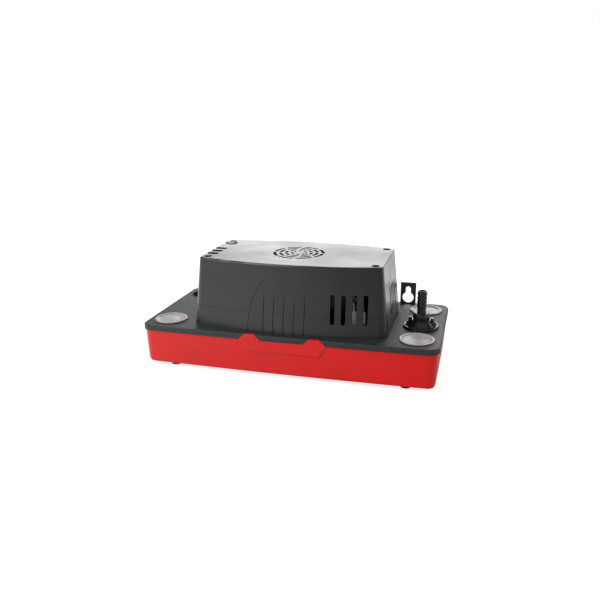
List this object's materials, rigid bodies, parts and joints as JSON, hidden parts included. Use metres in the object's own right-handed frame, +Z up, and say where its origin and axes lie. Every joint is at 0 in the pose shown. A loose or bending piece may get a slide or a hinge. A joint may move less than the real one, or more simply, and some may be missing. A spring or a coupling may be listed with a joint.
{
  "type": "condensate pump",
  "caption": "Low tank-type condensate pump: red reservoir, black lid, vented motor cover, capped inlets, barbed discharge valve and keyhole hangers.",
  "frame": {"origin": "on the floor under the middle of the tank", "axes": "+X along the tank towards the discharge end, +Y towards the wall it hangs on, +Z up"},
  "size_m": [0.32, 0.1546, 0.1214],
  "materials": {
    "tank_red": "gloss moulded",
    "lid_black": "fine pebble texture",
    "cover_black": "fine pebble texture, satin",
    "valve_black": "satin",
    "foot_rubber": "matte",
    "seal_rubber": "matte",
    "cap_frosted": "frosted translucent",
    "bracket_steel": "satin black zinc",
    "zinc_steel": "zinc plated",
    "shaft_steel": "ground",
    "core_steel": "stacked sheet",
    "coil_wire": "enamelled wire",
    "bearing_bronze": "sintered",
    "white_nylon": "natural nylon",
    "fan_plastic": "satin",
    "pump_plastic": "satin",
    "float_foam": "closed-cell foam",
    "ball_rubber": "smooth",
    "switch_plastic": "satin",
    "plunger_red": "satin",
    "grip_grey": "satin",
    "lead_sleeve": "satin"
  },
  "bodies": {
    "housing": {"bracket_left": "bracket_steel", "bracket_right": "bracket_steel", "bracket_screws": "zinc_steel", "coil_bobbin": "white_nylon", "coil_leads": "lead_sleeve", "coil_winding": "coil_wire", "cord_gland": "seal_rubber", "cover_screws": "zinc_steel", "discharge_pipe": "pump_plastic", "float_hinge": "white_nylon", "hinge_pin": "shaft_steel", "hose_barb": "valve_black", "inlet_cap_front_left": "cap_frosted", "inlet_cap_front_right": "cap_frosted", "inlet_cap_rear_right": "cap_frosted", "lead_clip": "pump_plastic", "lid": "lid_black", "lower_bearing": "bearing_bronze", "lower_bridge": "zinc_steel", "motor_bolts": "zinc_steel", "motor_cover": "cover_black", "motor_sleeves": "zinc_steel", "outlet_elbow": "valve_black", "rim_gasket": "seal_rubber", "run_switch": "switch_plastic", "safety_switch": "switch_plastic", "splice_caps": "white_nylon", "stator_core": "core_steel", "switch_screws": "zinc_steel", "switch_spacers": "zinc_steel", "tank": "tank_red", "tank_feet": "foot_rubber", "upper_bearing": "bearing_bronze", "upper_bridge": "zinc_steel", "valve_body": "valve_black", "valve_oring": "seal_rubber", "volute_housing": "pump_plastic", "volute_plate": "pump_plastic", "volute_screws": "zinc_steel"},
    "rotor": {"motor_shaft": "shaft_steel", "rotor_core": "core_steel", "fan": "fan_plastic", "impeller": "pump_plastic"},
    "float": {"float_block": "float_foam", "float_arm": "white_nylon"},
    "rod": {"test_rod": "white_nylon", "link_pin": "shaft_steel", "test_grip": "grip_grey"},
    "run_button": {"run_plunger": "plunger_red"},
    "safety_button": {"safety_plunger": "plunger_red"},
    "ball": {"valve_ball": "ball_rubber"}
  },
  "joints": [
    {"name": "motor_spin", "type": "hinge", "parent": "housing", "child": "rotor", "pos_m": [0, -0.0045, 0.08], "axis": [0, 0, 1], "continuous": true},
    {"name": "float_swing", "type": "hinge", "parent": "housing", "child": "float", "pos_m": [-0.038, 0.01925, 0.036], "axis": [0, 1, 0], "range_deg": [0, 12.12]},
    {"name": "rod_slide", "type": "slide", "parent": "housing", "child": "rod", "axis": [0, 0, 1], "range_m": [0, 0.011]},
    {"name": "run_button_press", "type": "slide", "parent": "housing", "child": "run_button", "axis": [1, 0, 0], "range_m": [0, 0.0016]},
    {"name": "safety_button_press", "type": "slide", "parent": "housing", "child": "safety_button", "axis": [1, 0, 0], "range_m": [0, 0.0009]},
    {"name": "ball_lift", "type": "slide", "parent": "housing", "child": "ball", "axis": [0, 0, 1], "range_m": [0, 0.004]}
  ],
  "couplings": [
    {"joint": "rod_slide", "follows": "float_swing", "m_per_rad": 0.052},
    {"joint": "run_button_press", "follows": "float_swing", "m_per_rad": 0.0075636},
    {"joint": "safety_button_press", "follows": "float_swing", "m_per_rad": 0.0042545}
  ]
}
